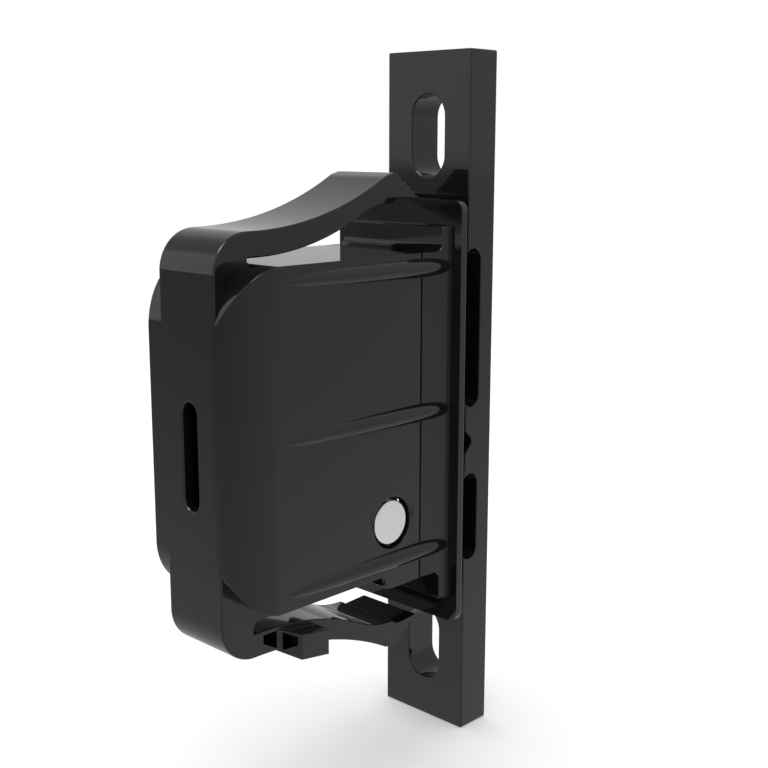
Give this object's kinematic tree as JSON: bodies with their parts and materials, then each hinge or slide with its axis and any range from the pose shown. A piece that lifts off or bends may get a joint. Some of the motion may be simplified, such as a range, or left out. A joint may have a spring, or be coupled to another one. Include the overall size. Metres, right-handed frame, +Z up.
{
  "type": "push-to-close latch",
  "caption": "Snap-in push-to-close latch with flanged housing, toothed snap arms, sprung pawl and a screwed keeper with a steel striker pin.",
  "frame": {"origin": "middle of the keeper's flat mounting face, halfway between its two screw slots", "axes": "+Z up along the keeper, +Y out of the keeper's back into what it is screwed to, so the latch projects along -Y; +X towards the ribbed side of the latch housing"},
  "size_m": [0.0236, 0.0497, 0.1016],
  "materials": {
    "black_nylon": "moulded, smooth gloss",
    "steel": "bright turned",
    "spring_steel": "drawn wire",
    "bronze": "sintered, oiled"
  },
  "bodies": {
    "keeper": {"keeper_plate": "black_nylon", "striker_fork": "black_nylon", "striker_pin": "steel"},
    "latch_body": {"housing_shell": "black_nylon", "front_frame": "black_nylon", "pivot_pin": "steel", "thrust_washers": "steel", "torsion_spring": "spring_steel"},
    "pawl": {"pawl": "black_nylon", "pawl_bush": "bronze"},
    "upper_arm": {"upper_snap_arm": "black_nylon"},
    "lower_arm": {"lower_snap_arm": "black_nylon"}
  },
  "joints": [
    {"name": "pull_open", "type": "slide", "parent": "keeper", "child": "latch_body", "axis": [0, -1, 0], "range_m": [0, 0.015]},
    {"name": "pawl_swing", "type": "hinge", "parent": "latch_body", "child": "pawl", "pos_m": [0, -0.0236, -0.013], "axis": [-1, 0, 0], "range_deg": [0, 47], "stiffness_Nm_per_rad": 0.02, "deforming": ["torsion_spring"]},
    {"name": "upper_arm_flex", "type": "hinge", "parent": "latch_body", "child": "upper_arm", "pos_m": [0, -0.0443, 0.0242], "axis": [-1, 0, 0], "range_deg": [0, 5.5], "stiffness_Nm_per_rad": 1},
    {"name": "lower_arm_flex", "type": "hinge", "parent": "latch_body", "child": "lower_arm", "pos_m": [0, -0.0443, -0.0242], "axis": [1, 0, 0], "range_deg": [0, 5.5], "stiffness_Nm_per_rad": 1}
  ],
  "couplings": [
    {"joint": "pawl_swing", "follows": "pull_open", "rad_per_m": 54.5}
  ]
}
